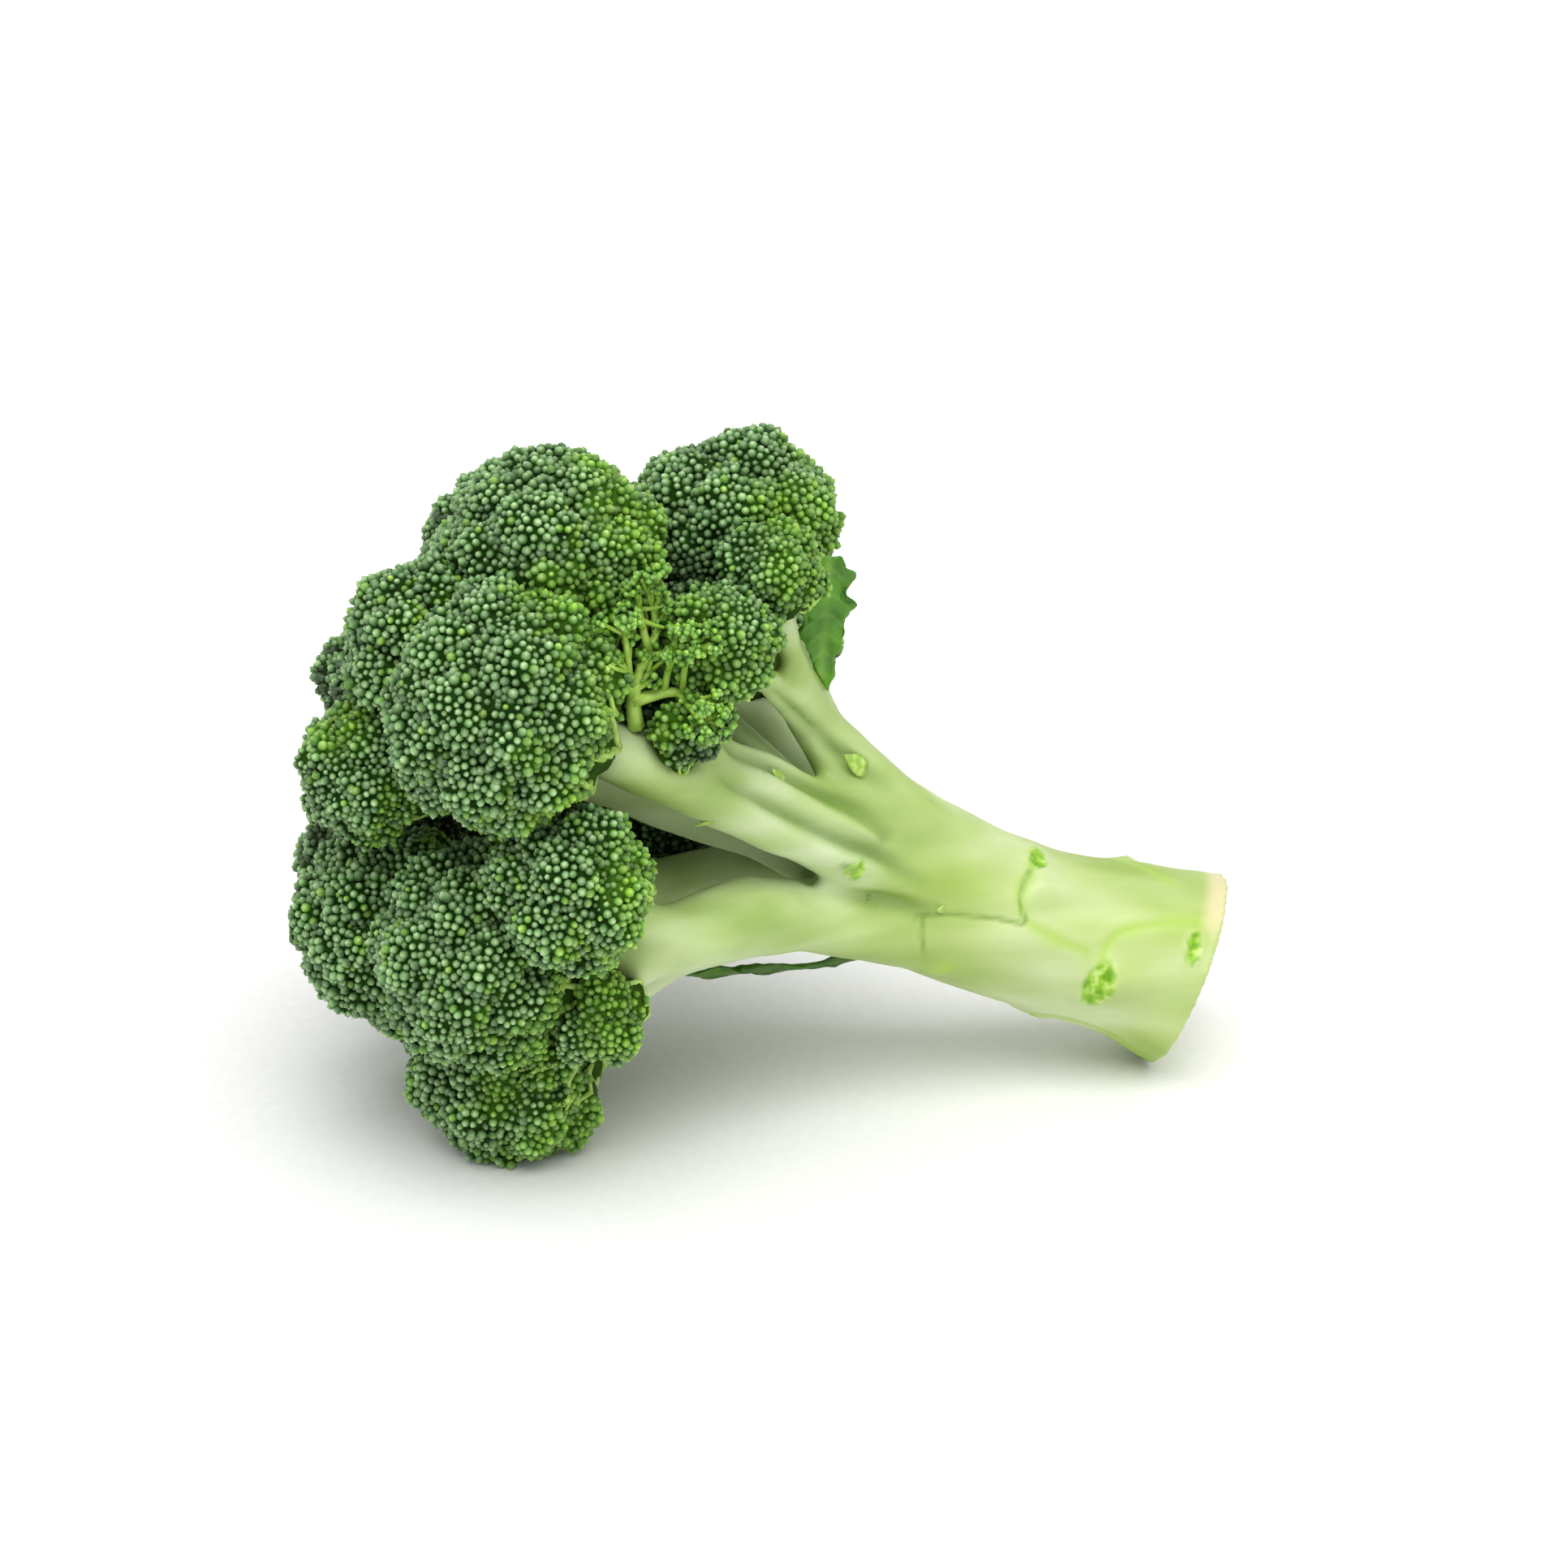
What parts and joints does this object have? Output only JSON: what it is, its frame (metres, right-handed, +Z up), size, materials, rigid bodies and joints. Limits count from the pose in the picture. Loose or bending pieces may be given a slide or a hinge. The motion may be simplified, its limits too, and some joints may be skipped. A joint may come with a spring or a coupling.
{
  "type": "broccoli head",
  "caption": "Cut head of broccoli lying on its side: a pale stalk that forks into branches carrying a domed crown of bud-covered florets, with small leaves.",
  "frame": {"origin": "on the table, under the middle of the object's bounding box", "axes": "+X from the crown towards the stalk's cut end, +Z up from the table, -Y the side that faces the picture's viewer"},
  "size_m": [0.203, 0.146, 0.1469],
  "materials": {
    "stalk": "pale yellow-green stem tissue, moist satin skin with faint lengthwise ridges",
    "floret": "tight dark blue-green flower buds with a pale waxy bloom, brighter green between and below them",
    "leaf": "fresh bright green leaf with a paler midrib, satin"
  },
  "bodies": {
    "root": {"stalk": "stalk", "floret_top_front": "floret", "floret_tip_upper": "floret", "floret_upper_rim": "floret", "floret_upper_rim_side": "floret", "floret_front": "floret", "floret_front_upper": "floret", "floret_front_small": "floret", "floret_tip_lower": "floret", "floret_lower_tip": "floret", "floret_lower_front": "floret", "floret_front_ball": "floret", "floret_lower_ball": "floret", "floret_foot_front": "floret", "floret_back_upper_rim": "floret", "floret_back_hollow": "floret", "floret_top_hollow": "floret", "floret_front_inner": "floret", "floret_back_top": "floret", "floret_tip": "floret", "floret_back_rim": "floret", "floret_back_tip": "floret", "floret_back": "floret", "floret_back_lower": "floret", "floret_back_lower_rim": "floret", "floret_foot_back": "floret", "side_leaf": "leaf", "under_leaf": "leaf"}
  },
  "joints": []
}
